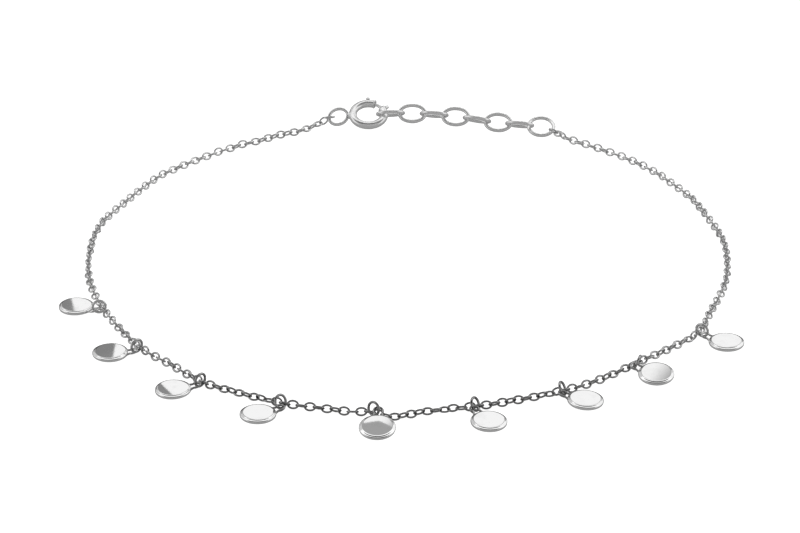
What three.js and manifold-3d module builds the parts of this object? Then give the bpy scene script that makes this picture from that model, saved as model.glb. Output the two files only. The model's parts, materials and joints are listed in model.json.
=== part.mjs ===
// A fine silver bracelet: a trace chain with nine small coins, a spring ring clasp and an extender of
// large oval links. It lies closed on a surface at z = 0. Millimetres, +Z up, +Y towards the clasp.
import * as THREE from 'three';
import { mergeVertices } from 'three/addons/utils/BufferGeometryUtils.js';
import Module from 'manifold-3d';

const wasm = await Module();
wasm.setup();

// ---- Driving dimensions ----

const COIN = { diameter: 3.5, thickness: 0.44, chamfer: 0.07 };
const EYELET = { outer: 1.12, wire: 0.22, bite: 0.06, rise: 15 };
const JUMP_RING = { outer: 1.54, wire: 0.26 };
const FINE_LINK = { length: 1.2, width: 0.92, wire: 0.2 };
const CHAIN = { tube: 0.72, height: 0.36, cutBack: 0.9, longCutBack: 1.5, step: 2.3 };
const EXTENDER_LINK = { length: 3.2, width: 2.38, wire: 0.35, roll: 36 };
const EXTENDER_RING = { outer: 3.1, wire: 0.35, tilt: 19, heading: -2, hookAngle: -27 };
const LINK_GAP = 0.08;
const END_LINK_RISE = 0.5;

// The clasp: angles in its own plane, from +X and anticlockwise seen from above
const CLASP = {
  x: -3.47,
  y: 34.75,
  outer: 4.34,
  tube: 0.86,
  tilt: 18.5,
  mouthStart: 32,
  mouthEnd: 66,
  boreEnd: 176,
};
const CLASP_EYE = { angle: 186, outer: 2.05, wire: 0.36, reach: 3.35, neck: 0.55, neckOut: 0.2, twist: -25 };
const THUMB_TAB = { angle: 25, width: 0.42, reach: 0.3 };
const BOLT = { rod: 0.36, bore: 0.5, seat: 9, overrun: 5, tip: 4, tail: 104, travel: 36 };
const KNOB = { angle: 92, stem: 0.26, head: 0.46, gap: 0.08, reach: 0.42, slot: 0.4, slotSpare: 6 };

// Each coin hangs from the chain at hook. lead is the way from there to its eyelet, facing the way
// from the eyelet to its centre. raised lifts its eyelet end and rolled turns it about that line. lean
// tips its jump ring sideways, and turn swings it. Angles are in degrees, and 0 where none is given.
const COINS = [
  { hook: [-29.55, -10.2], span: 1.0, lead: 189, facing: 147, raised: 1.5 },
  { hook: [-25.4, -18.1], span: 0.98, lead: 222, facing: 180 },
  { hook: [-18.9, -25.1], span: 1.02, lead: 226, facing: 191, raised: 2 },
  { hook: [-11.0, -29.25], span: 0.95, lead: 243, facing: 203, lean: -24, turn: -16 },
  { hook: [-2.85, -31.15, 0.15], span: 1.06, lead: 318, facing: 268, raised: 9.5, lean: 12, turn: 5 },
  { hook: [7.45, -29.75], span: 1.02, lead: 250, facing: 306, raised: 2.5, lean: -24, turn: -8 },
  { hook: [15.8, -26.7], span: 1.0, lead: 260, facing: 341, raised: 3, lean: -24, turn: -8 },
  { hook: [23.08, -21.35, 0.14], span: 1.13, lead: 256, facing: 332, raised: 3, rolled: -7, lean: 20 },
  { hook: [29.4, -15.05], span: 0.9, lead: 327, facing: 331 },
];

// The chain's route over the surface: the points of each run between two of its hooks, from the clasp's
// eye round to the extender's ring. A third number is a height above where the chain lies.
const ROUTE = [
  [
    [-9.0, 33.5, 0.1],
    [-11.0, 31.9],
    [-13.2, 30.8],
    [-15.3, 29.4],
    [-17.4, 28.2],
    [-19.5, 26.6],
    [-21.6, 24.8],
    [-23.7, 22.8],
    [-25.7, 20.5],
    [-27.6, 17.2],
    [-29.2, 13.8],
    [-30.9, 10.0],
    [-31.7, 6.3],
    [-31.9, 2.6],
    [-31.8, -1.0],
    [-31.3, -4.6],
  ],
  [],
  [[-22.3, -21.5]],
  [[-15.2, -27.3]],
  [[-7.6, -30.1], [-4.9, -30.8]],
  [[-0.6, -31.8], [2.2, -30.85]],
  [],
  [[19.6, -24.3]],
  [[26.7, -17.95]],
  [
    [31.1, -10.2],
    [32.3, -6.7],
    [33.15, -3.2],
    [33.5, 0.4],
    [33.55, 4.0],
    [33.0, 7.6],
    [32.0, 11.4],
    [30.8, 15.2],
    [28.8, 19.1],
    [26.9, 22.1],
    [23.8, 25.5],
    [20.7, 28.0],
    [18.5, 29.7],
  ],
];

// The hooks, counted from the clasp's eye, at which a coin lies against the chain
const CROWDED = [5, 8];

// The way that each extender link points, from the clasp to the end ring, in degrees from +X
const EXTENDER_HEADINGS = [5, 2, -8, -13, -17, -16, -10];
const FIRST_LINK = { reach: 2.42, back: 0.2, height: 1.03, drop: 0.06 };

// Facets: sides round a wire or tube, and steps along or round it
const SIDES = 8;
const FINE_SIDES = 6;
const CLASP_SIDES = 10;
const STEPS = {
  ring: 16,
  endRing: 20,
  link: 12,
  eyelet: 14,
  coin: 28,
  clasp: 30,
  bore: 12,
  seat: 2,
  bolt: 9,
};
const ROUTE_SAMPLES = 4000;

// ---- Helpers ----

const radians = THREE.MathUtils.degToRad;
const X_AXIS = new THREE.Vector3(1, 0, 0);
const Z_AXIS = new THREE.Vector3(0, 0, 1);
const bracelet = new THREE.Group();

function silver(shade, roughness) {
  return new THREE.MeshStandardMaterial({ color: shade, roughness, metalness: 1 });
}

function addPiece(name, geometry, shade = 0xd8d8da, roughness = 0.15) {
  const mesh = new THREE.Mesh(geometry, silver(shade, roughness));
  mesh.name = name;
  bracelet.add(mesh);
  return mesh;
}

// The direction at an angle from +X in the horizontal plane
function heading(degrees) {
  return new THREE.Vector3(Math.cos(radians(degrees)), Math.sin(radians(degrees)), 0);
}

// A ring's turn when its +Y side is raised from the surface
function tiltedBack(degrees) {
  return new THREE.Quaternion().setFromAxisAngle(X_AXIS, radians(degrees));
}

// The chain's centre line above a point of the surface
function onChain([x, y, lift = 0]) {
  return new THREE.Vector3(x, y, CHAIN.height + lift);
}

// Place a mesh by its centre, the way its long side runs and the way its face points
function place(mesh, centre, along, face) {
  const x = along.clone().normalize();
  const z = face.clone().addScaledVector(x, -face.dot(x)).normalize();
  const y = new THREE.Vector3().crossVectors(z, x);
  mesh.position.copy(centre);
  mesh.quaternion.setFromRotationMatrix(new THREE.Matrix4().makeBasis(x, y, z));
  return mesh;
}

// A closed geometry as a solid for joining and cutting
function solidOf(geometry) {
  const plain = geometry.clone();
  plain.deleteAttribute('normal');
  plain.deleteAttribute('uv');
  const merged = mergeVertices(plain, 1e-4);
  const corners = [];
  const index = merged.index.array;
  for (let i = 0; i < index.length; i += 3) {
    const [a, b, c] = [index[i], index[i + 1], index[i + 2]];
    if (a !== b && b !== c && c !== a) corners.push(a, b, c);
  }
  return new wasm.Manifold(
    new wasm.Mesh({
      numProp: 3,
      vertProperties: new Float32Array(merged.attributes.position.array),
      triVerts: new Uint32Array(corners),
    }),
  );
}

function geometryOf(solid) {
  const mesh = solid.getMesh();
  const geometry = new THREE.BufferGeometry();
  geometry.setAttribute('position', new THREE.BufferAttribute(mesh.vertProperties, 3));
  geometry.setIndex(new THREE.BufferAttribute(mesh.triVerts, 1));
  return geometry;
}

// A round ring lying in the XY plane, centred on its own middle
function ringGeometry({ outer, wire }, sides = SIDES, steps = STEPS.ring) {
  return new THREE.TorusGeometry((outer - wire) / 2, wire / 2, sides, steps);
}

// An oval link: a ring cut in half across its length and drawn apart
function linkGeometry({ length, width, wire }, sides = SIDES, steps = STEPS.ring) {
  const geometry = ringGeometry({ outer: width, wire }, sides, steps);
  geometry.rotateZ(Math.PI / steps);
  const position = geometry.attributes.position;
  for (let i = 0; i < position.count; i++) {
    const x = position.getX(i);
    position.setX(i, x + (Math.sign(x) * (length - width)) / 2);
  }
  return geometry;
}

// A curve round the clasp's own centre, between two angles
class Arc extends THREE.Curve {
  constructor(radius, start, end) {
    super();
    Object.assign(this, { radius, start, end });
  }

  getPoint(t, target = new THREE.Vector3()) {
    const angle = radians(THREE.MathUtils.lerp(this.start, this.end, t));
    return target.set(this.radius * Math.cos(angle), this.radius * Math.sin(angle), 0);
  }
}

// A curve through points that never dips below where the chain lies
class LyingCurve extends THREE.CatmullRomCurve3 {
  getPoint(t, target) {
    const point = super.getPoint(t, target);
    point.z = Math.max(point.z, CHAIN.height);
    return point;
  }
}

// A part of a longer curve, between two lengths along it
class Stretch extends THREE.Curve {
  constructor(whole, start, end) {
    super();
    const total = whole.getLength();
    Object.assign(this, { whole, from: start / total, to: end / total });
  }

  getPoint(t, target = new THREE.Vector3()) {
    return this.whole.getPointAt(THREE.MathUtils.lerp(this.from, this.to, t), target);
  }
}

// A many-sided section that measures its diameter between flat sides, one of which is its underside
function roundSection(diameter, sides) {
  const radius = diameter / 2 / Math.cos(Math.PI / sides);
  const shape = new THREE.Shape();
  for (let i = 0; i < sides; i++) {
    const angle = ((i + 0.5) * 2 * Math.PI) / sides;
    const [x, y] = [radius * Math.cos(angle), radius * Math.sin(angle)];
    if (i === 0) shape.moveTo(x, y);
    else shape.lineTo(x, y);
  }
  shape.closePath();
  return shape;
}

function tubeGeometry(curve, diameter, steps, sides = SIDES) {
  return new THREE.ExtrudeGeometry(roundSection(diameter, sides), { extrudePath: curve, steps });
}

// ---- Coins ----

const coinReach = (COIN.diameter + EYELET.outer) / 2 - EYELET.bite;

// A coin lying on its underside at the origin, its eyelet towards +X and turned up a little
function coinGeometry() {
  const { diameter, thickness, chamfer } = COIN;
  const radius = diameter / 2;
  const profile = [
    new THREE.Vector2(0, 0),
    new THREE.Vector2(radius - chamfer, 0),
    new THREE.Vector2(radius, chamfer),
    new THREE.Vector2(radius, thickness - chamfer),
    new THREE.Vector2(radius - chamfer, thickness),
    new THREE.Vector2(0, thickness),
  ];
  const disc = new THREE.LatheGeometry(profile, STEPS.coin);
  disc.rotateX(Math.PI / 2);
  const eyelet = ringGeometry(EYELET, FINE_SIDES, STEPS.eyelet);
  eyelet.translate(coinReach - radius, 0, 0);
  eyelet.rotateY(-radians(EYELET.rise));
  eyelet.translate(radius, 0, thickness / 2);
  return geometryOf(solidOf(disc).add(solidOf(eyelet)));
}

// How high a turned shape's origin is when its lowest point is on the surface
function restingHeight(geometry, turn) {
  const turned = geometry.clone().applyQuaternion(turn);
  turned.computeBoundingBox();
  return -turned.boundingBox.min.z;
}

// The eyelet's centre in the coin's own frame
function eyeletCentre() {
  const arm = coinReach - COIN.diameter / 2;
  const rise = radians(EYELET.rise);
  const [out, up] = [arm * Math.cos(rise), arm * Math.sin(rise)];
  return new THREE.Vector3(COIN.diameter / 2 + out, 0, COIN.thickness / 2 + up);
}

function coinTurn({ facing, raised = 0, rolled = 0 }) {
  const turn = new THREE.Quaternion().setFromAxisAngle(Z_AXIS, radians(facing + 180));
  const tip = new THREE.Euler(radians(rolled), -radians(raised), 0, 'YXZ');
  return turn.multiply(new THREE.Quaternion().setFromEuler(tip));
}

// A jump ring that links two points. It is tipped by lean about the line between them, and turned about
// its own upward line as far as its wire is free to move in the two holes.
function jumpRingPose(hook, eyelet, { lean = 0, turn = 0 }) {
  const chord = hook.clone().sub(eyelet);
  const radius = (JUMP_RING.outer - JUMP_RING.wire) / 2;
  const across = chord.clone().normalize();
  const reach = (chord.length() / 2) * Math.cos(radians(turn));
  const depth = Math.sqrt(radius ** 2 - reach ** 2);
  const up = Z_AXIS.clone().addScaledVector(across, -across.z).normalize();
  up.applyAxisAngle(across, radians(lean));
  across.applyAxisAngle(up, radians(turn));
  const centre = hook.clone().add(eyelet).multiplyScalar(0.5).addScaledVector(up, depth);
  return { centre, across, face: new THREE.Vector3().crossVectors(across, up) };
}

function addCoin(row, number) {
  const hook = onChain(row.hook);
  const coin = addPiece(`coin_${number}`, coinGeometry(), 0xe8e8ea, 0.08);
  coin.quaternion.copy(coinTurn(row));
  const arm = eyeletCentre().applyQuaternion(coin.quaternion);
  const eyelet = hook.clone().addScaledVector(heading(row.lead), row.span);
  eyelet.z = restingHeight(coin.geometry, coin.quaternion) + arm.z;
  coin.position.copy(eyelet).sub(arm);

  const { centre, across, face } = jumpRingPose(hook, eyelet, row);
  place(addPiece(`jump_ring_${number}`, ringGeometry(JUMP_RING, FINE_SIDES)), centre, across, face);
  const wire = hook.clone().sub(centre).cross(face).normalize();
  return { hook, wire };
}

const hooks = COINS.map((row, i) => addCoin(row, i + 1));

// ---- Clasp ----

const claspRadius = (CLASP.outer - CLASP.tube) / 2;
const claspTurn = tiltedBack(CLASP.tilt);

// A block that follows the clasp's circle, from one radius and angle to another
function arcBlock(inner, outer, start, end, height) {
  const shape = new THREE.Shape();
  shape.absarc(0, 0, outer, radians(start), radians(end), false);
  shape.absarc(0, 0, inner, radians(end), radians(start), true);
  const block = new THREE.ExtrudeGeometry(shape, { depth: height, bevelEnabled: false, curveSegments: 6 });
  block.translate(0, 0, -height / 2);
  return block;
}

// The way out from the clasp's centre at an angle, as a rod between two radii
function radialRod(angle, inner, outer, diameter, sides = SIDES) {
  const rod = new THREE.CylinderGeometry(diameter / 2, diameter / 2, outer - inner, sides);
  rod.rotateZ(-Math.PI / 2);
  rod.translate((inner + outer) / 2, 0, 0);
  rod.rotateZ(radians(angle));
  return rod;
}

function claspBody() {
  const { mouthStart, mouthEnd, boreEnd, tube } = CLASP;
  const radius = claspRadius;
  const outside = radius + tube / 2;
  const wall = new Arc(radius, mouthEnd, mouthStart + 360);
  const bore = new Arc(radius, mouthEnd - BOLT.overrun, boreEnd);
  const seat = new Arc(radius, mouthStart - BOLT.seat, mouthStart + BOLT.overrun);
  const slot = arcBlock(
    radius,
    radius + tube,
    KNOB.angle - KNOB.slotSpare,
    KNOB.angle + BOLT.travel + KNOB.slotSpare,
    KNOB.slot,
  );
  const eye = ringGeometry(CLASP_EYE, SIDES, STEPS.endRing);
  eye.rotateX(radians(CLASP_EYE.twist));
  eye.translate(CLASP_EYE.reach, 0, 0);
  eye.rotateZ(radians(CLASP_EYE.angle));
  const neck = radialRod(CLASP_EYE.angle, radius, outside + CLASP_EYE.neckOut, CLASP_EYE.neck);
  const tab = radialRod(THUMB_TAB.angle, radius, outside + THUMB_TAB.reach, THUMB_TAB.width);
  return solidOf(tubeGeometry(wall, tube, STEPS.clasp, CLASP_SIDES))
    .add(solidOf(tab))
    .add(solidOf(eye))
    .add(solidOf(neck))
    .subtract(solidOf(tubeGeometry(bore, BOLT.bore, STEPS.bore)))
    .subtract(solidOf(tubeGeometry(seat, BOLT.bore, STEPS.seat)))
    .subtract(solidOf(slot));
}

function claspBolt() {
  const outside = claspRadius + CLASP.tube / 2;
  const rod = new Arc(claspRadius, CLASP.mouthStart - BOLT.tip, BOLT.tail);
  const stem = radialRod(KNOB.angle, claspRadius, outside + KNOB.reach / 2, KNOB.stem);
  const head = radialRod(KNOB.angle, outside + KNOB.gap, outside + KNOB.reach, KNOB.head);
  return solidOf(tubeGeometry(rod, BOLT.rod, STEPS.bolt))
    .add(solidOf(stem))
    .add(solidOf(head));
}

const clasp = { clasp_body: geometryOf(claspBody()), clasp_bolt: geometryOf(claspBolt()) };
const claspCentre = new THREE.Vector3(CLASP.x, CLASP.y, restingHeight(clasp.clasp_body, claspTurn));

for (const [name, geometry] of Object.entries(clasp)) {
  const piece = addPiece(name, geometry, 0xc9c9cc, 0.25);
  piece.position.copy(claspCentre);
  piece.quaternion.copy(claspTurn);
}

// ---- Extender ----

// The links turn alternately one way and the other about their length, and come down from the clasp's
// tube, which the first one holds, to the surface
function addExtender() {
  const { length, wire, roll } = EXTENDER_LINK;
  const { reach, back, height, drop } = FIRST_LINK;
  const pitch = length - 2 * wire - LINK_GAP;
  const centre = new THREE.Vector3(CLASP.x + reach, CLASP.y + back);
  EXTENDER_HEADINGS.forEach((degrees, i) => {
    const along = heading(degrees);
    if (i > 0) centre.addScaledVector(along, pitch / 2);
    const face = Z_AXIS.clone().applyAxisAngle(along, radians(i % 2 === 0 ? -roll : roll));
    const link = addPiece(`extender_link_${i + 1}`, linkGeometry(EXTENDER_LINK));
    place(link, centre, along, face);
    link.position.z = Math.max(restingHeight(link.geometry, link.quaternion), height - i * drop);
    centre.addScaledVector(along, pitch / 2);
  });
  return centre;
}

const extenderEnd = addExtender();
const endRingRadius = (EXTENDER_RING.outer - EXTENDER_RING.wire) / 2;
const endRingTurn = tiltedBack(EXTENDER_RING.tilt);

function addEndRing() {
  const ring = addPiece('extender_ring', ringGeometry(EXTENDER_RING, SIDES, STEPS.endRing));
  const inset = endRingRadius - (EXTENDER_LINK.wire + LINK_GAP) / 2;
  ring.position.copy(extenderEnd).addScaledVector(heading(EXTENDER_RING.heading), inset);
  ring.position.z = restingHeight(ring.geometry, endRingTurn);
  ring.quaternion.copy(endRingTurn);
  return ring.position;
}

const endRingCentre = addEndRing();

// ---- Fine chain ----

// Where the chain's first and last links hook on: just outside the wire of the ring that they hold, with
// their faces along that wire and turned a little up
function hookOn(centre, turn, radius, wire, degrees) {
  const along = heading(degrees).applyQuaternion(turn);
  const face = heading(degrees + 90).applyQuaternion(turn);
  face.addScaledVector(Z_AXIS, Math.sign(face.z) * END_LINK_RISE);
  const shift = FINE_LINK.length / 2 - FINE_LINK.wire - wire / 2 - LINK_GAP;
  return { hook: centre.clone().addScaledVector(along, radius + shift), along, face };
}

const eyeCentre = heading(CLASP_EYE.angle)
  .multiplyScalar(CLASP_EYE.reach)
  .applyQuaternion(claspTurn)
  .add(claspCentre);
const eyeTurn = claspTurn
  .clone()
  .multiply(new THREE.Quaternion().setFromAxisAngle(Z_AXIS, radians(CLASP_EYE.angle)))
  .multiply(new THREE.Quaternion().setFromAxisAngle(X_AXIS, radians(CLASP_EYE.twist)));
const eyeRadius = (CLASP_EYE.outer - CLASP_EYE.wire) / 2;
const first = hookOn(eyeCentre, eyeTurn, eyeRadius, CLASP_EYE.wire, 0);
const { wire: endWire, hookAngle } = EXTENDER_RING;
const last = hookOn(endRingCentre, endRingTurn, endRingRadius, endWire, hookAngle);

const carried = [first.hook, ...hooks.map(({ hook }) => hook), last.hook];
const route = new LyingCurve([
  first.hook,
  ...ROUTE.flatMap((points, run) => [...points.map(onChain), carried[run + 1]]),
]);
route.arcLengthDivisions = ROUTE_SAMPLES;

// The length along the route at which it passes a point
function lengthAt(point) {
  const distances = route.getSpacedPoints(ROUTE_SAMPLES).map((sample) => sample.distanceTo(point));
  return (distances.indexOf(Math.min(...distances)) / ROUTE_SAMPLES) * route.getLength();
}

const stops = carried.map(lengthAt);

// A link that carries something, with its face along the wire that passes through it
function addCarrier(number, centre, along, face) {
  const link = addPiece(`chain_link_${number}`, linkGeometry(FINE_LINK, FINE_SIDES, STEPS.link));
  place(link, centre, along, face);
}

addCarrier(1, first.hook, first.along, first.face);
hooks.forEach(({ hook, wire }, i) => {
  addCarrier(i + 2, hook, route.getTangentAt(stops[i + 1] / route.getLength()), wire);
});
addCarrier(stops.length, last.hook, last.along, last.face);

// The runs stop short of what hangs there, and further back where a coin lies against the chain
const cutBacks = stops.map((_, i) => (CROWDED.includes(i) ? CHAIN.longCutBack : CHAIN.cutBack));
for (let i = 1; i < stops.length; i++) {
  const start = stops[i - 1] + cutBacks[i - 1];
  const end = stops[i] - cutBacks[i];
  const steps = Math.max(3, Math.round((end - start) / CHAIN.step));
  addPiece(`chain_run_${i}`, tubeGeometry(new Stretch(route, start, end), CHAIN.tube, steps));
}

// ---- Origin under the middle of the whole bracelet ----

const box = new THREE.Box3().setFromObject(bracelet, true);
const middle = box.getCenter(new THREE.Vector3());
bracelet.position.set(-middle.x, -middle.y, -box.min.z);

export default bracelet;
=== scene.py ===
"""The looks of the coin bracelet: every link, coin and ring in polished silver on a white studio floor."""
import json
import math
import random

import bmesh
import bpy
import numpy as np
from mathutils import Matrix, Vector


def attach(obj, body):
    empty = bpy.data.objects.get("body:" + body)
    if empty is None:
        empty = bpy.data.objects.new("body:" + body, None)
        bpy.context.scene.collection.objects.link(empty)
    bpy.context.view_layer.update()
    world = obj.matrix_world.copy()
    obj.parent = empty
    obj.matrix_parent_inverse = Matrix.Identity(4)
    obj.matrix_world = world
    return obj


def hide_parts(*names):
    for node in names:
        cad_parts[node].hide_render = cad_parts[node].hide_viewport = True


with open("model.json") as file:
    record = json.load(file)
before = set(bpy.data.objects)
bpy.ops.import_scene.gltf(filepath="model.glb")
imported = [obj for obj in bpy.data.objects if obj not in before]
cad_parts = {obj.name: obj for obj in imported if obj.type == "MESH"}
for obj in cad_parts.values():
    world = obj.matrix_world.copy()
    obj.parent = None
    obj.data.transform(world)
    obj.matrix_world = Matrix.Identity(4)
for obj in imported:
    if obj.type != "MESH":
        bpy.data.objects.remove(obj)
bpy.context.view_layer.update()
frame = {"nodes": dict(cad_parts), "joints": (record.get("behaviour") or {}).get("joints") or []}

MM = 0.001
UP = np.array([0.0, 0.0, 1.0])
RIGHT = np.array([1.0, 0.0, 0.0])

# ---- Sizes, in millimetres as in the part; angles are in degrees ----

# edge is the radius of the rim's rounding, and hub is how near the middle its rows of corners come
COIN = {"diameter": 3.5, "thickness": 0.44, "edge": 0.13, "hub": 0.06, "sides": 96}
COIN_STEP = {"width": 0.07, "slope": 42}
COIN_SHOULDER = {"width": 0.08, "inner": 16, "outer": 25, "bands": 8}

# bite is how far the loop sinks into the coin's rim, rise its tilt, and open where its wire leaves the round
EYELET = {"outer": 1.12, "wire": 0.22, "bite": 0.06, "rise": 15, "open": 128}
# The wire of the eyelet's two feet, from the coin's rim: away from the middle, and to each side
EYELET_FOOT = [(-0.28, 0.56), (-0.1, 0.47), (0.06, 0.41)]
JUMP_RING = {"outer": 1.54, "wire": 0.26, "cut": 3}

# lean rolls the links' faces one way and the other in turn, turn rolls them all, and sway is random. The
# roll settles from that of the run's end links over a number of links.
FINE_LINK = {
    "length": 1.22, "width": 0.92, "wire": 0.2, "pitch": 0.8,
    "lean": 45, "turn": 9, "sway": 17, "settle": 2.2,
}
EXTENDER_LINK = {"length": 3.25, "width": 2.43, "wire": 0.4, "count": 7}
EXTENDER_RING = {"outer": 3.15, "wire": 0.4}
# A link's wire is thicker by a share where it was soldered, over a share of its way round
SEAM = {"swell": 0.08, "share": 1 / 28}

# The spring ring. Angles go round its middle, and seat is how far the bolt's nose runs into the far end.
CLASP = {
    "outer": 4.34, "tube": 0.86, "mouth_start": 32, "mouth_end": 66,
    "bore": 0.5, "bore_end": 176, "seat": 9,
}
CLASP_RING = (CLASP["outer"] - CLASP["tube"]) / 2
CLASP_OUTSIDE = CLASP["outer"] / 2
# The rolled lip at each end of the tube: degrees from the end, and millimetres over the tube
COLLAR = [(0, -0.02), (0.6, 0.035), (2.5, 0.05), (4.4, 0.035), (5, 0)]
# How deep the neck and the thumb tab run into the tube
SINK = 0.15
# swing turns the oval eye in its own plane, and twist turns it about the way out from the clasp's middle
CLASP_EYE = {
    "angle": 186, "reach": 3.35, "length": 2.5, "width": 2.12, "wire": 0.36, "swing": 24, "twist": -25,
}
NECK = {"inner": 0.44, "middle": 0.34, "outer": 0.26, "into_eye": 0.7}
THUMB_TAB = {"angle": 30, "reach": 0.34, "root": 0.21, "shoulder": 0.19, "tip": 0.14, "bevel": 0.05}
BOLT = {"rod": 0.36, "start": 28, "end": 104, "travel": 36, "shank": 4}
# The bolt's nose: degrees from its start, and share of the rod's radius
BOLT_NOSE = [(0, 0.6), (1.5, 0.9)]
# spare is how far the slot runs past the stem at each end of its travel, and gap is under the head
KNOB = {
    "angle": 92, "stem": 0.26, "head": 0.46, "reach": 0.42, "gap": 0.08, "bevel": 0.03,
    "slot": 0.4, "spare": 6,
}
# The rounded top of the knob's head: below its top, and in from its side
KNOB_CROWN = [(0.06, 0), (0.02, 0.04), (0, 0.1)]
CHAIN_HEIGHT = 0.36

# The chain's route between the links that the part models, in metres: one list for each run, from the
# clasp's eye round to the extender's ring. A third number is a height above where the chain lies.
ROUTE = [
    [
        (-0.0090, 0.0335, 0.0001), (-0.0110, 0.0319), (-0.0132, 0.0308), (-0.0153, 0.0294),
        (-0.0174, 0.0282), (-0.0195, 0.0266), (-0.0216, 0.0248), (-0.0237, 0.0228),
        (-0.0257, 0.0205), (-0.0276, 0.0172), (-0.0292, 0.0138), (-0.0309, 0.0100),
        (-0.0317, 0.0063), (-0.0319, 0.0026), (-0.0318, -0.0010), (-0.0313, -0.0046),
    ],
    [],
    [(-0.0223, -0.0215)],
    [(-0.0152, -0.0273)],
    [(-0.0076, -0.0301), (-0.0049, -0.0308)],
    [(-0.0006, -0.0318), (0.0022, -0.03085)],
    [],
    [(0.0196, -0.0243)],
    [(0.0267, -0.01795)],
    [
        (0.0311, -0.0102), (0.0323, -0.0067), (0.03315, -0.0032), (0.0335, 0.0004),
        (0.03355, 0.0040), (0.0330, 0.0076), (0.0320, 0.0114), (0.0308, 0.0152),
        (0.0288, 0.0191), (0.0269, 0.0221), (0.0238, 0.0255), (0.0207, 0.0280),
        (0.0185, 0.0297),
    ],
]

# How each coin's polished face is out of true, as slopes in degrees: across and away give its bend from
# its middle to its edge, to the right and towards the clasp; skew its twist; right and back its tilt.
FACES = [
    {"across": 3, "away": 3, "skew": 0.3, "right": 1.7, "back": 0},
    {"across": 3, "away": 3, "skew": -0.5, "right": -1.4, "back": 0},
    {"across": 3, "away": 3, "skew": 1.5, "right": 2.05, "back": 0},
    {"across": 2, "away": 2, "skew": 0, "right": 0, "back": 0},
    {"across": 3, "away": 3, "skew": 0, "right": 0, "back": -1.1},
    {"across": 2, "away": 2, "skew": 0, "right": 0, "back": 0},
    {"across": 2, "away": 2, "skew": 0, "right": 0, "back": 0},
    {"across": 3, "away": 2, "skew": 0, "right": 0, "back": 0},
    {"across": 2, "away": 2, "skew": 0, "right": 0, "back": 0},
]

# Faces that meet at more than this many degrees keep a crisp edge
SHARP = 50

# ---- Where the part's pieces are ----


def points_of(node):
    """The corners of a CAD node, one row each, in metres."""
    mesh = frame["nodes"][node].data
    found = np.zeros(len(mesh.vertices) * 3)
    mesh.vertices.foreach_get("co", found)
    return found.reshape(-1, 3)


def upward(normal):
    """The normal, or its opposite if it points down."""
    return normal * (1 if normal[2] >= 0 else -1)


def flat_pose(node):
    """Centre, long direction and upward normal of a ring or link."""
    points = points_of(node)
    centre = points.mean(0)
    axes = np.linalg.svd(points - centre, full_matrices=False)[2]
    return centre, axes[0], upward(axes[2])


def coin_pose(node):
    """Centre of a coin's underside, its upward normal and the direction of its eyelet."""
    mesh = frame["nodes"][node].data
    face = max(mesh.polygons, key=lambda polygon: polygon.area)
    normal = upward(np.array(face.normal))
    points = points_of(node)
    height = points @ normal
    low = points[height < height.min() + 0.001 * MM]
    centre = (low.min(0) + low.max(0)) / 2
    offset = points - centre
    flat = offset - np.outer(offset @ normal, normal)
    past_rim = (COIN["diameter"] / 2 + 0.5) * MM
    out = flat[np.linalg.norm(flat, axis=1) > past_rim].mean(0)
    return centre, normal, out / np.linalg.norm(out)


def basis(x, z):
    """Rotation matrix with the given z direction and an x direction as near as it can be."""
    z = z / np.linalg.norm(z)
    x = x - (x @ z) * z
    x = x / np.linalg.norm(x)
    return np.array([x, np.cross(z, x), z]).T


# The layout, which ROUTE is in, has the first coin's hook at this place. The part is moved from there
# to put its origin under its middle.
FIRST_HOOK = np.array([-29.55, -10.2, CHAIN_HEIGHT]) * MM
LAYOUT_SHIFT = flat_pose("chain_link_2")[0] - FIRST_HOOK

# ---- Mesh helpers ----


def placed(corners, rotation, centre):
    """Corners turned by a rotation matrix and then moved."""
    return corners @ rotation.T + centre


def rotation(degrees, axis):
    return np.array(Matrix.Rotation(math.radians(degrees), 3, axis))


class Shape:
    """Corners and faces that grow piece by piece, in millimetres in the row frame."""

    def __init__(self, *made):
        self.corners = []
        self.faces = []
        for corners, faces in made:
            self.add(corners, faces)

    def add(self, corners, faces):
        start = len(self.corners)
        self.corners.extend(map(tuple, corners))
        self.faces.extend(tuple(start + i for i in face) for face in faces)

    def put(self, made, turn, centre):
        """Adds corners and faces, turned and moved to a centre that is in metres."""
        corners, faces = made
        self.add(placed(corners, turn, centre / MM), faces)

    def mesh(self, name, scale=1.0):
        """The shape as a mesh whose faces all look outwards."""
        mesh = bpy.data.meshes.new(name)
        mesh.from_pydata([tuple(c * scale for c in corner) for corner in self.corners], [], self.faces)
        mesh.validate()
        turned = bmesh.new()
        turned.from_mesh(mesh)
        bmesh.ops.recalc_face_normals(turned, faces=turned.faces)
        turned.to_mesh(mesh)
        turned.free()
        return mesh

    def less(self, *cutters):
        """The corners and faces that are left when other shapes are cut away."""
        objects = [bpy.data.objects.new("cut", shape.mesh("cut")) for shape in (self, *cutters)]
        for made in objects:
            bpy.context.scene.collection.objects.link(made)
        for cutter in objects[1:]:
            cut = objects[0].modifiers.new("cut", "BOOLEAN")
            cut.operation, cut.solver, cut.object = "DIFFERENCE", "EXACT", cutter
        solid = objects[0].evaluated_get(bpy.context.evaluated_depsgraph_get()).to_mesh()
        corners = np.array([tuple(vertex.co) for vertex in solid.vertices])
        faces = [tuple(polygon.vertices) for polygon in solid.polygons]
        for made in objects:
            mesh = made.data
            bpy.data.objects.remove(made)
            bpy.data.meshes.remove(mesh)
        return corners, faces

    def piece(self, name, material, node, slot, body="bracelet"):
        """The shape as a smooth object that rides on a body and stands for a CAD node."""
        mesh = self.mesh(name, MM)
        mesh.polygons.foreach_set("use_smooth", [True] * len(mesh.polygons))
        mesh.set_sharp_from_angle(angle=math.radians(SHARP))
        mesh.materials.append(material)
        made = bpy.data.objects.new(name, mesh)
        bpy.context.scene.collection.objects.link(made)
        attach(made, body)
        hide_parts(node)


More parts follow.
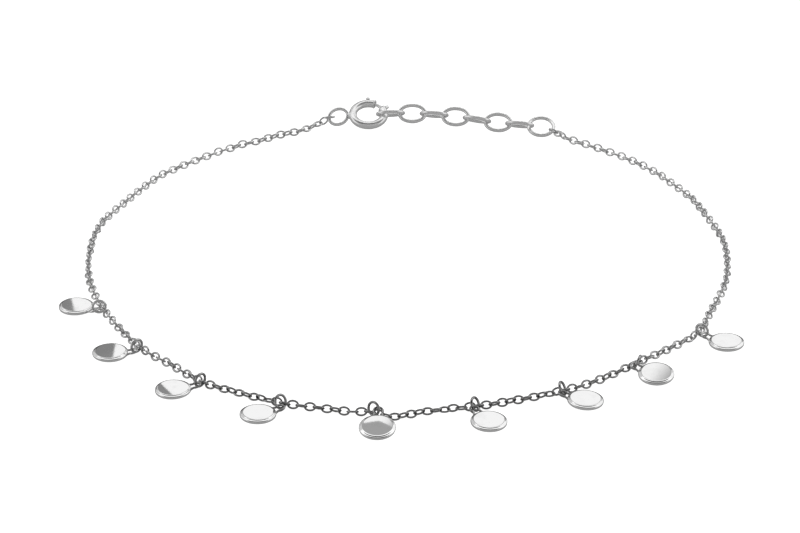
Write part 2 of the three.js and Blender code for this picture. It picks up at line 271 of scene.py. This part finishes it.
def grid_faces(rows, columns, rows_close=False):
    """Quads between neighbouring rows of a grid of corners, whose columns close on themselves."""
    faces = []
    for i in range(rows if rows_close else rows - 1):
        for j in range(columns):
            a, b = i * columns + j, i * columns + (j + 1) % columns
            c, d = (i + 1) % rows * columns + (j + 1) % columns, (i + 1) % rows * columns + j
            faces.append((a, b, c, d))
    return faces


def capped_faces(rows, columns):
    """Quads between neighbouring rows, and a face over the first row and the last."""
    faces = grid_faces(rows, columns)
    faces.append(tuple(reversed(range(columns))))
    faces.append(tuple(range((rows - 1) * columns, rows * columns)))
    return faces


def flat_tube(path, radii, sides, closed=True):
    """Corners and faces of a round tube along a path in the XY plane, with its own radius at each point."""
    path = np.asarray(path, float)
    radii = np.broadcast_to(radii, len(path))
    if closed:
        tangents = np.roll(path, -1, 0) - np.roll(path, 1, 0)
    else:
        tangents = np.gradient(path, axis=0)
    tangents /= np.linalg.norm(tangents, axis=1)[:, None]
    outward = np.column_stack([tangents[:, 1], -tangents[:, 0]])
    turns = np.arange(sides) * 2 * math.pi / sides
    corners = []
    for point, out, radius in zip(path, outward, radii):
        for turn in turns:
            x, y = point + out * radius * math.cos(turn)
            corners.append((x, y, radius * math.sin(turn)))
    faces = grid_faces(len(path), sides, rows_close=True) if closed else capped_faces(len(path), sides)
    return np.array(corners), faces


def oval_path(length, width, steps, squareness=2.05):
    """The middle line of an oval, a little fuller than an ellipse unless squareness is 2."""
    turns = (np.arange(steps) + 0.5) * 2 * math.pi / steps
    power = 2 / squareness
    x = length / 2 * np.sign(np.cos(turns)) * np.abs(np.cos(turns)) ** power
    y = width / 2 * np.sign(np.sin(turns)) * np.abs(np.sin(turns)) ** power
    return np.column_stack([x, y])


def link_shape(size, steps, sides):
    """A soldered oval link, with a slight swelling where its seam was closed."""
    path = oval_path(size["length"] - size["wire"], size["width"] - size["wire"], steps)
    from_seam = (np.arange(steps) - steps / 4) / (steps * SEAM["share"])
    swelling = SEAM["swell"] * np.exp(-(from_seam**2))
    return flat_tube(path, size["wire"] / 2 * (1 + swelling), sides)


# ---- Silver ----


class Nodes:
    """Short calls that add nodes to a tree and link them."""

    def __init__(self, tree):
        self.tree = tree

    def add(self, kind, **values):
        node = self.tree.nodes.new(kind)
        for key, value in values.items():
            setattr(node, key, value)
        return node

    def put(self, socket, value):
        if isinstance(value, bpy.types.NodeSocket):
            self.tree.links.new(value, socket)
        else:
            socket.default_value = value

    def math(self, operation, *values):
        node = self.add("ShaderNodeMath", operation=operation)
        for socket, value in zip(node.inputs, values):
            self.put(socket, value)
        return node.outputs[0]

    def ramp(self, value, low, high):
        """Smoothly from 0 to 1 as value goes from low to high, which may be the lower number."""
        node = self.add("ShaderNodeMapRange", interpolation_type="SMOOTHSTEP")
        for name, number in (("Value", value), ("From Min", low), ("From Max", high)):
            self.put(node.inputs[name], number)
        return node.outputs[0]

    def edge(self, value, place, soft):
        """From 0 to 1 as value passes a place, over soft on each side, or from 1 to 0 if soft is negative."""
        return self.ramp(value, place - soft, place + soft)

    def blend(self, share, first, second):
        """first where share is 0 and second where it is 1."""
        return self.math("MULTIPLY_ADD", share, self.math("SUBTRACT", second, first), first)

    def noise(self, place, scale, detail):
        node = self.add("ShaderNodeTexNoise")
        node.inputs["Scale"].default_value = scale
        node.inputs["Detail"].default_value = detail
        self.tree.links.new(place, node.inputs["Vector"])
        return node.outputs["Fac"]


# The silver grows rougher and its painted tone lighter from the front to the back between these places, in
# metres: painted shade at the front, painted light at the back
SHADE_AND_GLOSS_FADE = (-0.031, -0.008)
# A cloudy pattern changes the roughness, and the brightness where it is above start
CLOUD = {"scale": 900, "detail": 4, "polish": 0.08, "tarnish": -0.06, "start": 0.45, "full": 0.75}
SMOOTHEST = 0.02
# Hairline marks, with their depth in metres
MARKS = {"scale": 5500, "detail": 3, "strength": 0.05, "depth": 0.00001}


def silver(name, front, back, metal=1.0):
    """Silver whose polish and brightness go from front to back, (roughness, brightness) each. The brightness
    is painted: painted shade darkens the front and painted light lightens the back. The silver also has an
    uneven polish, faint tarnish and hairline marks."""
    material = bpy.data.materials.new(name)
    material.use_nodes = True
    nodes, links = Nodes(material.node_tree), material.node_tree.links
    shader = material.node_tree.nodes["Principled BSDF"]
    shader.inputs["Metallic"].default_value = metal
    place = nodes.add("ShaderNodeTexCoord").outputs["Object"]
    split = nodes.add("ShaderNodeSeparateXYZ")
    links.new(place, split.inputs[0])
    depth = nodes.ramp(split.outputs["Y"], *SHADE_AND_GLOSS_FADE)
    cloud = nodes.noise(place, CLOUD["scale"], CLOUD["detail"])
    uneven = nodes.math("MULTIPLY", nodes.math("SUBTRACT", cloud, 0.5), CLOUD["polish"])
    polish = nodes.math("ADD", nodes.blend(depth, front[0], back[0]), uneven)
    links.new(nodes.math("MAXIMUM", polish, SMOOTHEST), shader.inputs["Roughness"])
    tarnish = nodes.math("MULTIPLY", nodes.ramp(cloud, CLOUD["start"], CLOUD["full"]), CLOUD["tarnish"])
    # Painted shade and light: the base is darker at the front and lighter at the back, with random tarnish on
    # top
    bright = nodes.math("ADD", nodes.blend(depth, front[1], back[1]), tarnish)
    colour = nodes.add("ShaderNodeCombineColor")
    for channel in colour.inputs:
        links.new(bright, channel)
    links.new(colour.outputs[0], shader.inputs["Base Color"])
    bump = nodes.add("ShaderNodeBump")
    bump.inputs["Strength"].default_value = MARKS["strength"]
    bump.inputs["Distance"].default_value = MARKS["depth"]
    links.new(nodes.noise(place, MARKS["scale"], MARKS["detail"]), bump.inputs["Height"])
    links.new(bump.outputs["Normal"], shader.inputs["Normal"])
    return material


# Painted shade: the wires, eyelets and jump rings are the coins' silver painted darker, most of all at the
# front, and towards the back the fade lightens them as painted light. The soft silver of the clasp and
# extender is painted lighter towards the back in the same way.
COIN_SILVER = silver("coin_silver", (0.04, 0.95), (0.06, 0.95))
SHADED_WIRE_SILVER = silver("wire_silver_painted_shade", (0.04, 0.35), (0.16, 0.76))
SOFT_SILVER = silver("soft_silver", (0.2, 0.82), (0.2, 0.93), metal=0.75)

# ---- Coins ----


def arc(reach, height, out, up, angles):
    """Points of a rounded edge about a reach and height, out by sines and up by cosines."""
    return [(reach + out * math.sin(a), height + up * math.cos(a)) for a in angles]


def coin_profile():
    """Distance from the middle and height, all the way round the rim: along the underside, up the edge, over
    the soft shoulder that polishing leaves, and up a fine step to the face."""
    edge, top, hub = COIN["edge"], COIN["thickness"], COIN["hub"]
    corner = COIN["diameter"] / 2 - edge
    step = math.tan(math.radians(COIN_STEP["slope"])) * COIN_STEP["width"]
    slopes = np.radians(np.linspace(COIN_SHOULDER["inner"], COIN_SHOULDER["outer"], COIN_SHOULDER["bands"]))
    steepest = slopes[-1]
    width = COIN_SHOULDER["width"] / len(slopes)
    start = corner + edge * math.sin(steepest) - COIN_SHOULDER["width"]
    shoulder = [(start, top - step)]
    for slope in slopes:
        reach, height = shoulder[-1]
        shoulder.append((reach + width, height - width * math.tan(slope)))
    centre = shoulder[-1][1] - edge * math.cos(steepest)
    under = [(r, 0.0) for r in np.linspace(hub, corner, 6)]
    low = arc(corner, edge, edge, -edge, np.linspace(0, math.pi / 2, 7)[1:])
    high = arc(corner, centre, edge, edge, np.linspace(math.pi / 2, steepest, 9))
    inner = start - COIN_STEP["width"]
    rise = [(inner + COIN_STEP["width"] * t, top - step * t) for t in (0.7, 0.3)]
    face = [(r, top) for r in np.linspace(inner, hub, 14)]
    return under + low + high + shoulder[-2::-1] + rise + face


def face_sag(slope, right, away):
    """How far a coin's face lies below flat, at a distance to the right and towards the clasp."""
    bend = slope["across"] * right**2 + slope["away"] * away**2 + 2 * slope["skew"] * right * away
    return bend / COIN["diameter"] + slope["right"] * right + slope["back"] * away


def coin_shape(face, turn):
    """A disc with rounded edges, underside at z = 0, with its polished face out of true as face says."""
    sides, profile = COIN["sides"], coin_profile()
    slope = {name: math.tan(math.radians(value)) for name, value in face.items()}
    corners = []
    for reach, height in profile:
        # The sag grows from none at half the thickness to all of it at the face
        share = max(0.0, height / COIN["thickness"] - 0.5) * 2
        for i in range(sides):
            angle = 2 * math.pi * i / sides
            x, y = reach * math.cos(angle), reach * math.sin(angle)
            right, away = (turn @ np.array([x, y, 0]))[:2]
            corners.append((x, y, height - share * face_sag(slope, right, away)))
    return np.array(corners), capped_faces(len(profile), sides)


def eyelet_shape():
    """A loop of wire whose two ends run into the coin's rim, with the coin towards -X."""
    ring = (EYELET["outer"] - EYELET["wire"]) / 2
    arm = EYELET["outer"] / 2 - EYELET["bite"]
    angles = np.radians(np.linspace(EYELET["open"], -EYELET["open"], 33))
    bend = [(ring * math.cos(a), ring * math.sin(a)) for a in angles]
    foot = [(x - arm, y) for x, y in EYELET_FOOT]
    path = foot + bend + [(x, -y) for x, y in reversed(foot)]
    corners, faces = flat_tube(path, EYELET["wire"] / 2, 14, closed=False)
    rim = (COIN["diameter"] / 2, 0, COIN["thickness"] / 2)
    return placed(corners + (arm, 0, 0), rotation(-EYELET["rise"], "Y"), rim), faces


def build_coin(number):
    node = f"coin_{number}"
    centre, normal, out = coin_pose(node)
    turn = basis(out, normal)
    disc, eyelet = Shape(), Shape()
    disc.put(coin_shape(FACES[number - 1], turn), turn, centre)
    disc.piece(f"{node}_silver", COIN_SILVER, node, "coins")
    eyelet.put(eyelet_shape(), turn, centre)
    eyelet.piece(f"{node}_eyelet", SHADED_WIRE_SILVER, node, "coins")


def build_jump_ring(number):
    """A ring of round wire, with the fine gap left where it was bent shut."""
    node = f"jump_ring_{number}"
    centre, _, normal = flat_pose(node)
    ring = (JUMP_RING["outer"] - JUMP_RING["wire"]) / 2
    angles = np.radians(np.linspace(JUMP_RING["cut"], 360 - JUMP_RING["cut"], 60))
    path = [(ring * math.cos(a), ring * math.sin(a)) for a in angles]
    shape, seam = Shape(), np.cross(normal, UP)
    shape.put(flat_tube(path, JUMP_RING["wire"] / 2, 16, closed=False), basis(seam, normal), centre)
    shape.piece(f"{node}_silver", SHADED_WIRE_SILVER, node, "jump_rings")


# ---- The chain ----


def catmull_rom(points, steps):
    """A centripetal Catmull-Rom curve through the points, with steps samples for each span."""
    points = [2 * points[0] - points[1], *points, 2 * points[-1] - points[-2]]
    samples = []
    for a, b, c, d in zip(points, points[1:], points[2:], points[3:]):
        gaps = [max(np.linalg.norm(q - p), 1e-9) ** 0.5 for p, q in ((a, b), (b, c), (c, d))]
        leave = (b - a) / gaps[0] - (c - a) / (gaps[0] + gaps[1]) + (c - b) / gaps[1]
        reach = (c - b) / gaps[1] - (d - b) / (gaps[1] + gaps[2]) + (d - c) / gaps[2]
        leave, reach = leave * gaps[1], reach * gaps[1]
        for t in np.arange(steps) / steps:
            square = (3 * (c - b) - 2 * leave - reach) * t**2
            cube = (2 * (b - c) + leave + reach) * t**3
            samples.append(b + leave * t + square + cube)
    return np.array([*samples, points[-2]])


class ChainLine:
    """The chain's middle line through given points, measured along its length in metres."""

    STEPS = 60

    def __init__(self, points):
        self.line = catmull_rom(points, self.STEPS)
        self.line[:, 2] = np.maximum(self.line[:, 2], CHAIN_HEIGHT * MM + LAYOUT_SHIFT[2])
        gaps = np.linalg.norm(np.diff(self.line, axis=0), axis=1)
        self.lengths = np.concatenate([[0], np.cumsum(gaps)])

    def length_to(self, point):
        return self.lengths[point * self.STEPS]

    def at(self, length):
        return np.array([np.interp(length, self.lengths, self.line[:, k]) for k in range(3)])

    def tangent_at(self, length):
        reach = 0.1 * MM
        ahead = self.at(length + reach) - self.at(length - reach)
        return ahead / np.linalg.norm(ahead)


def side_and_up(tangent):
    """The level direction across the chain, and the one that is square to both."""
    side = np.cross(UP, tangent)
    side /= np.linalg.norm(side)
    return side, np.cross(tangent, side)


def half_turn(angle):
    """The same roll of a link within a quarter turn either way, since its two faces are alike."""
    return (angle + 90) % 180 - 90


def roll_of(normal, tangent):
    """The angle of a link's face about the chain's direction, from upright, within half a turn."""
    side, up = side_and_up(tangent)
    return half_turn(math.degrees(math.atan2(normal @ side, normal @ up)))


def turned_link(tangent, roll):
    """Rotation of a link that runs along tangent, with its face rolled from upright."""
    side, up = side_and_up(tangent)
    return basis(tangent, side * math.sin(math.radians(roll)) + up * math.cos(math.radians(roll)))


def chain_points(carriers):
    """Every point that the chain goes through, and which of them are the links that the part models."""
    points, stops = [carriers[0][0]], [0]
    for run, (centre, _, _) in zip(ROUTE, carriers[1:]):
        for x, y, *lift in run:
            points.append(np.array([x, y, CHAIN_HEIGHT * MM + sum(lift)]) + LAYOUT_SHIFT)
        points.append(centre)
        stops.append(len(points) - 1)
    return points, stops


def run_shape(made, line, start, end, normals, chance):
    """The links of one run, at an even pitch, whose rolls settle from those of the run's two end links."""
    corners, faces = made
    lean, turn, settle = FINE_LINK["lean"], FINE_LINK["turn"], FINE_LINK["settle"]
    count = max(2, round((end - start) / (FINE_LINK["pitch"] * MM)))
    extra = []
    for normal, length, index in zip(normals, (start, end), (0, count)):
        roll = roll_of(normal, line.tangent_at(length))
        extra.append(half_turn(roll - turn - lean * (-1) ** index))
    shape = Shape()
    for i in range(1, count):
        length = start + (end - start) * i / count
        roll = turn + lean * (-1) ** i
        roll += extra[0] * math.exp(-i / settle) + extra[1] * math.exp(-(count - i) / settle)
        roll += chance.uniform(-1, 1) * FINE_LINK["sway"]
        link = placed(corners, turned_link(line.tangent_at(length), roll), line.at(length) / MM)
        # A link that would dip into the surface lies on it instead
        link[:, 2] += max(0, -link[:, 2].min())
        shape.add(link, faces)
    return shape


def build_chain():
    """Every link of the fine chain, run by run, and the links between the runs that the part models."""
    chance = random.Random(7)
    carriers = [flat_pose(f"chain_link_{i}") for i in range(1, len(ROUTE) + 2)]
    points, stops = chain_points(carriers)
    line = ChainLine(points)
    link = link_shape(FINE_LINK, 28, 10)
    for number in range(1, len(ROUTE) + 1):
        start, end = line.length_to(stops[number - 1]), line.length_to(stops[number])
        normals = [carriers[number - 1][2], carriers[number][2]]
        shape = run_shape(link, line, start, end, normals, chance)
        shape.piece(f"chain_links_{number}", SHADED_WIRE_SILVER, f"chain_run_{number}", "chain")
    for number, (centre, along, normal) in enumerate(carriers, 1):
        shape = Shape()
        shape.put(link, basis(along, normal), centre)
        shape.piece(f"chain_link_{number}_silver", SHADED_WIRE_SILVER, f"chain_link_{number}", "chain")


# ---- Extender ----


def build_extender():
    """Seven large oval links and the round ring at the extender's end."""
    link = link_shape(EXTENDER_LINK, 64, 20)
    for i in range(1, EXTENDER_LINK["count"] + 1):
        centre, along, normal = flat_pose(f"extender_link_{i}")
        shape = Shape()
        shape.put(link, basis(along, normal), centre)
        shape.piece(f"extender_link_{i}_silver", SOFT_SILVER, f"extender_link_{i}", "extender")
    centre, _, normal = flat_pose("extender_ring")
    across, wire = EXTENDER_RING["outer"] - EXTENDER_RING["wire"], EXTENDER_RING["wire"]
    path = oval_path(across, across, 72, squareness=2)
    shape = Shape()
    shape.put(flat_tube(path, wire / 2, 20), basis(RIGHT, normal), centre)
    shape.piece("extender_ring_silver", SOFT_SILVER, "extender_ring", "extender")


# ---- Clasp ----


def clasp_frame():
    """Rotation and centre of the clasp's own plane, which the bolt turns in."""
    joint = frame["joints"][0]
    return basis(RIGHT, np.array(joint["axis"])), np.array(joint["pos_m"])


def arc_tube(stations, sides):
    """A tube round the clasp's circle through stations of (angle, radius), closed by its first and last."""
    corners = []
    for angle, radius in stations:
        a = math.radians(angle)
        for j in range(sides):
            turn = 2 * math.pi * j / sides
            reach = CLASP_RING + radius * math.cos(turn)
            corners.append((reach * math.cos(a), reach * math.sin(a), radius * math.sin(turn)))
    return np.array(corners), [tuple(reversed(face)) for face in capped_faces(len(stations), sides)]


def arc_block(inner, outer, width, angles):
    """A curved block between two radii round the clasp's middle, to cut a slot with."""
    half = width / 2
    corners = []
    for a in np.radians(angles):
        for reach, height in ((inner, -half), (outer, -half), (outer, half), (inner, half)):
            corners.append((reach * math.cos(a), reach * math.sin(a), height))
    return np.array(corners), capped_faces(len(angles), 4)


def rod_shape(angle, stations, sides=24):
    """A turned rod that points out from the clasp's middle, through stations of (reach, radius)."""
    a = math.radians(angle)
    out, side = np.array([math.cos(a), math.sin(a), 0]), np.array([-math.sin(a), math.cos(a), 0])
    corners = []
    for reach, radius in stations:
        for j in range(sides):
            turn = 2 * math.pi * j / sides
            corners.append(out * reach + side * radius * math.cos(turn) + UP * radius * math.sin(turn))
    return np.array(corners), capped_faces(len(stations), sides)


def clasp_tube():
    """The ring's tube with its lips, cut by the bolt's bore, its seat and the knob's slot."""
    tube, bore = CLASP["tube"] / 2, CLASP["bore"] / 2
    first, last = CLASP["mouth_end"], CLASP["mouth_start"] + 360
    collar = [(angle, tube + over) for angle, over in COLLAR]
    stations = [(first + angle, radius) for angle, radius in collar]
    stations += [(angle, tube) for angle in np.linspace(first + 7, last - 7, 90)]
    stations += [(last - angle, radius) for angle, radius in reversed(collar)]
    past = 5
    hollow = [(angle, bore) for angle in np.linspace(first - past, CLASP["bore_end"], 50)]
    seat = [(angle, bore) for angle in np.linspace(last - CLASP["seat"], last + past, 8)]
    slot_start, slot_end = KNOB["angle"] - KNOB["spare"], KNOB["angle"] + BOLT["travel"] + KNOB["spare"]
    slot_angles = np.linspace(slot_start, slot_end, 24)
    slot = arc_block(CLASP_RING, CLASP_OUTSIDE + 0.3, KNOB["slot"], slot_angles)
    cutters = [Shape(arc_tube(hollow, 20)), Shape(arc_tube(seat, 20)), Shape(slot)]
    return Shape(arc_tube(stations, 28)).less(*cutters)


def clasp_eye():
    """The oval eye that the chain's first link goes through."""
    eye = CLASP_EYE
    path = oval_path(eye["length"] - eye["wire"], eye["width"] - eye["wire"], 48, squareness=2)
    corners, faces = flat_tube(path, eye["wire"] / 2, 18)
    corners = placed(corners, rotation(eye["swing"], "Z"), (0, 0, 0))
    corners = placed(corners, rotation(eye["twist"], "X"), (eye["reach"], 0, 0))
    return placed(corners, rotation(eye["angle"], "Z"), (0, 0, 0)), faces


def clasp_neck():
    """The soldered neck between the tube and the eye."""
    inner = CLASP_OUTSIDE - SINK
    outer = CLASP_EYE["reach"] - CLASP_EYE["length"] / 2 + CLASP_EYE["wire"] * NECK["into_eye"]
    middle = (inner + outer) / 2
    stations = [(inner, NECK["inner"]), (middle, NECK["middle"]), (outer, NECK["outer"])]
    return rod_shape(CLASP_EYE["angle"], stations)


def thumb_tab():
    """The fixed stud beside the mouth."""
    tab, tip = THUMB_TAB, CLASP_OUTSIDE + THUMB_TAB["reach"]
    stations = [(CLASP_OUTSIDE - SINK, tab["root"]), (tip - tab["bevel"], tab["shoulder"]), (tip, tab["tip"])]
    return rod_shape(tab["angle"], stations)


def bolt_rod():
    """The curved rod that closes the mouth, with its rounded nose."""
    rod = BOLT["rod"] / 2
    stations = [(BOLT["start"] + angle, rod * share) for angle, share in BOLT_NOSE]
    stations += [(angle, rod) for angle in np.linspace(BOLT["start"] + BOLT["shank"], BOLT["end"], 30)]
    return arc_tube(stations, 18)


def bolt_knob():
    """The knob that draws the bolt back: a stem through the slot and a head with softened edges."""
    stem, head = KNOB["stem"] / 2, KNOB["head"] / 2
    low, top = CLASP_OUTSIDE + KNOB["gap"], CLASP_OUTSIDE + KNOB["reach"]
    stations = [(CLASP_RING, stem), (low, stem), (low, head - KNOB["bevel"]), (low + KNOB["bevel"], head)]
    stations += [(top - below, head - inward) for below, inward in KNOB_CROWN]
    return rod_shape(KNOB["angle"], stations)


def build_clasp():
    turn, centre = clasp_frame()
    body, bolt = Shape(), Shape()
    for made in (clasp_tube(), clasp_eye(), clasp_neck(), thumb_tab()):
        body.put(made, turn, centre)
    body.piece("clasp_body_silver", SOFT_SILVER, "clasp_body", "clasp")
    for made in (bolt_rod(), bolt_knob()):
        bolt.put(made, turn, centre)
    bolt.piece("clasp_bolt_silver", SOFT_SILVER, "clasp_bolt", "clasp", body="clasp_bolt")


# ---- Camera, floor and light ----

# distance is in millimetres from the middle of the layout, and sensor and lens are the camera's own
CAMERA = {"sensor": 36, "lens": 168.9, "down": 27.22, "distance": 384.0, "near": 0.01, "far": 20}


def build_camera():
    camera = bpy.data.cameras.new("camera")
    camera.sensor_width = CAMERA["sensor"]
    camera.lens = CAMERA["lens"]
    camera.clip_start = CAMERA["near"]
    camera.clip_end = CAMERA["far"]
    holder = bpy.data.objects.new("camera", camera)
    bpy.context.scene.collection.objects.link(holder)
    bpy.context.scene.camera = holder
    down, distance = math.radians(CAMERA["down"]), CAMERA["distance"] * MM
    offset = Vector((0, -distance * math.cos(down), distance * math.sin(down)))
    holder.location = Vector(LAYOUT_SHIFT) + offset
    holder.rotation_euler = (math.pi / 2 - down, 0, 0)


# The room's light. Angles are in degrees: across is to the right of straight behind the bracelet, and over
# goes from the horizon behind it, by way of straight up at 90, to the horizon in front. Where a patch has
# a start and an end, its light comes in between them. The sides and the strip's half go by the sine of the
# angle to either side.
STUDIO = {
    "wall": {"light": 0.23, "top_light": 0.36, "start": 27, "end": 50},
    "left_line": {"light": 0.08, "start": -10, "end": -12},
    "left_card": {"light": 0.6, "start": -14, "end": -15},
    "card": {"light": 0.95, "left": -5.7, "right": 66, "top": 48.5, "soft": 0.15, "right_fade": 8},
    "card_rise": {"middle": -0.6, "left": 0.18, "right": 0.64, "soft": 0.2},
    "card_fade": {"light": 0.35, "start": 10.5, "end": 20, "lean": 0.5, "level": 27},
    "right_card": {"light": 0.95, "start": 21, "end": 24},
    "horizon": {"light": 0.03, "end": 17, "soft": 1},
    "strip": {"light": 1.15, "start": 58, "soft": 1, "half": 0.75, "half_soft": 0.05},
    "overhead": {"light": 0.3, "start": 79, "end": 83},
    "dark": {"light": 0.025, "start": 94, "soft": 2},
    "front": {"light": 0.35, "start": 127, "soft": 3},
    "sides": {"light": 0.9, "start": 0.74, "end": 0.8},
}


def patched(nodes, light, value, patch):
    """The light with a patch over it that comes in between the patch's start and end."""
    return nodes.blend(nodes.ramp(value, patch["start"], patch["end"]), light, patch["light"])


def card_mask(nodes, across, over):
    """1 on the white card behind the bracelet, whose top edge rises to both sides, and 0 off it."""
    card, rise = STUDIO["card"], STUDIO["card_rise"]
    offset = nodes.math("SUBTRACT", across, rise["middle"])
    left = nodes.math("MAXIMUM", nodes.math("MULTIPLY", offset, -1), 0)
    right = nodes.math("MAXIMUM", offset, 0)
    to_left = nodes.math("MULTIPLY", left, rise["left"])
    sides = nodes.math("ADD", to_left, nodes.math("MULTIPLY", right, rise["right"]))
    past_top = nodes.math("SUBTRACT", over, nodes.math("ADD", sides, card["top"]))
    mask = nodes.edge(across, card["left"], card["soft"])
    mask = nodes.math("MULTIPLY", mask, nodes.ramp(across, card["right"] + card["right_fade"], card["right"]))
    return nodes.math("MULTIPLY", mask, nodes.edge(past_top, 0, -rise["soft"]))


def card_light(nodes, across, over):
    """The card's own light, which fades towards its right along a leaning line and then comes back."""
    fade = STUDIO["card_fade"]
    above = nodes.math("SUBTRACT", over, fade["level"])
    leaning = nodes.math("MULTIPLY_ADD", above, fade["lean"], across)
    light = patched(nodes, STUDIO["card"]["light"], leaning, fade)
    return patched(nodes, light, across, STUDIO["right_card"])


def build_world():
    """A studio by directions: a grey wall behind with a white card on it, a long softbox above, a dark band
    over the camera's side, and light beyond it and to both sides."""
    world = bpy.data.worlds.new("studio")
    bpy.context.scene.world = world
    world.use_nodes = True
    nodes = Nodes(world.node_tree)
    place = nodes.add("ShaderNodeTexCoord")
    split = nodes.add("ShaderNodeSeparateXYZ")
    world.node_tree.links.new(place.outputs["Generated"], split.inputs[0])
    x, y, z = split.outputs
    degrees = 180 / math.pi
    across = nodes.math("MULTIPLY", nodes.math("ARCTAN2", x, y), degrees)
    over = nodes.math("MULTIPLY", nodes.math("ARCTAN2", z, y), degrees)
    sideways = nodes.math("ABSOLUTE", x)

    wall, strip = STUDIO["wall"], STUDIO["strip"]
    light = nodes.blend(nodes.ramp(over, wall["start"], wall["end"]), wall["light"], wall["top_light"])
    light = patched(nodes, light, across, STUDIO["left_line"])
    light = patched(nodes, light, across, STUDIO["left_card"])
    light = nodes.blend(card_mask(nodes, across, over), light, card_light(nodes, across, over))
    horizon = STUDIO["horizon"]
    light = nodes.blend(nodes.edge(over, horizon["end"], -horizon["soft"]), light, horizon["light"])
    along = nodes.edge(sideways, strip["half"], -strip["half_soft"])
    glow = nodes.math("MULTIPLY", nodes.edge(over, strip["start"], strip["soft"]), along)
    light = nodes.blend(glow, light, strip["light"])
    light = patched(nodes, light, over, STUDIO["overhead"])
    for name in ("dark", "front"):
        band = STUDIO[name]
        light = nodes.blend(nodes.edge(over, band["start"], band["soft"]), light, band["light"])
    light = patched(nodes, light, sideways, STUDIO["sides"])
    background = world.node_tree.nodes["Background"]
    background.inputs["Color"].default_value = (1, 1, 1, 1)
    world.node_tree.links.new(light, background.inputs["Strength"])


# Half the floor's width and how far it lies under the part, in metres, and the floor's own glow and how
# much light its paper returns, in reflections and seen from the camera
FLOOR = {"half": 4.0, "drop": 0.00002, "mirrored": (0.2, 0.2), "seen": (0.93, 0.5)}


def build_floor():
    """A white floor with a faint shadow, greyer in the silver's reflections."""
    mesh, half = bpy.data.meshes.new("floor"), FLOOR["half"]
    corners = [(-half, -half, 0), (half, -half, 0), (half, half, 0), (-half, half, 0)]
    mesh.from_pydata(corners, [], [(0, 1, 2, 3)])
    floor = bpy.data.objects.new("floor", mesh)
    bpy.context.scene.collection.objects.link(floor)
    floor.location.z = -FLOOR["drop"]
    material = bpy.data.materials.new("floor_white")
    material.use_nodes = True
    tree = material.node_tree
    tree.nodes.remove(tree.nodes["Principled BSDF"])
    nodes = Nodes(tree)
    looks = []
    for glow, paper in (FLOOR["mirrored"], FLOOR["seen"]):
        lit = nodes.add("ShaderNodeEmission")
        lit.inputs["Strength"].default_value = glow
        card = nodes.add("ShaderNodeBsdfDiffuse")
        card.inputs["Color"].default_value = (paper, paper, paper, 1)
        both = nodes.add("ShaderNodeAddShader")
        tree.links.new(lit.outputs[0], both.inputs[0])
        tree.links.new(card.outputs[0], both.inputs[1])
        looks.append(both.outputs[0])
    path = nodes.add("ShaderNodeLightPath")
    pick = nodes.add("ShaderNodeMixShader")
    tree.links.new(path.outputs["Is Camera Ray"], pick.inputs[0])
    tree.links.new(looks[0], pick.inputs[1])
    tree.links.new(looks[1], pick.inputs[2])
    tree.links.new(pick.outputs[0], tree.nodes["Material Output"].inputs["Surface"])
    mesh.materials.append(material)


LAMP = {"light": 0.6, "spread": 60, "down": 50, "right": 20}


def build_lamp():
    """A broad lamp over the camera that lights what is matt, without a spot in what is polished."""
    lamp = bpy.data.lights.new("lamp", "SUN")
    lamp.energy = LAMP["light"]
    lamp.angle = math.radians(LAMP["spread"])
    holder = bpy.data.objects.new("lamp", lamp)
    bpy.context.scene.collection.objects.link(holder)
    holder.rotation_euler = (math.radians(90 - LAMP["down"]), 0, math.radians(LAMP["right"]))
    holder.visible_glossy = False


build_camera()
build_lamp()
build_floor()
build_world()
bpy.context.scene.view_settings.view_transform = "Standard"
bpy.context.scene.render.filter_size = 0.7
build_chain()
for number in range(1, len(FACES) + 1):
    build_coin(number)
    build_jump_ring(number)
build_extender()
build_clasp()
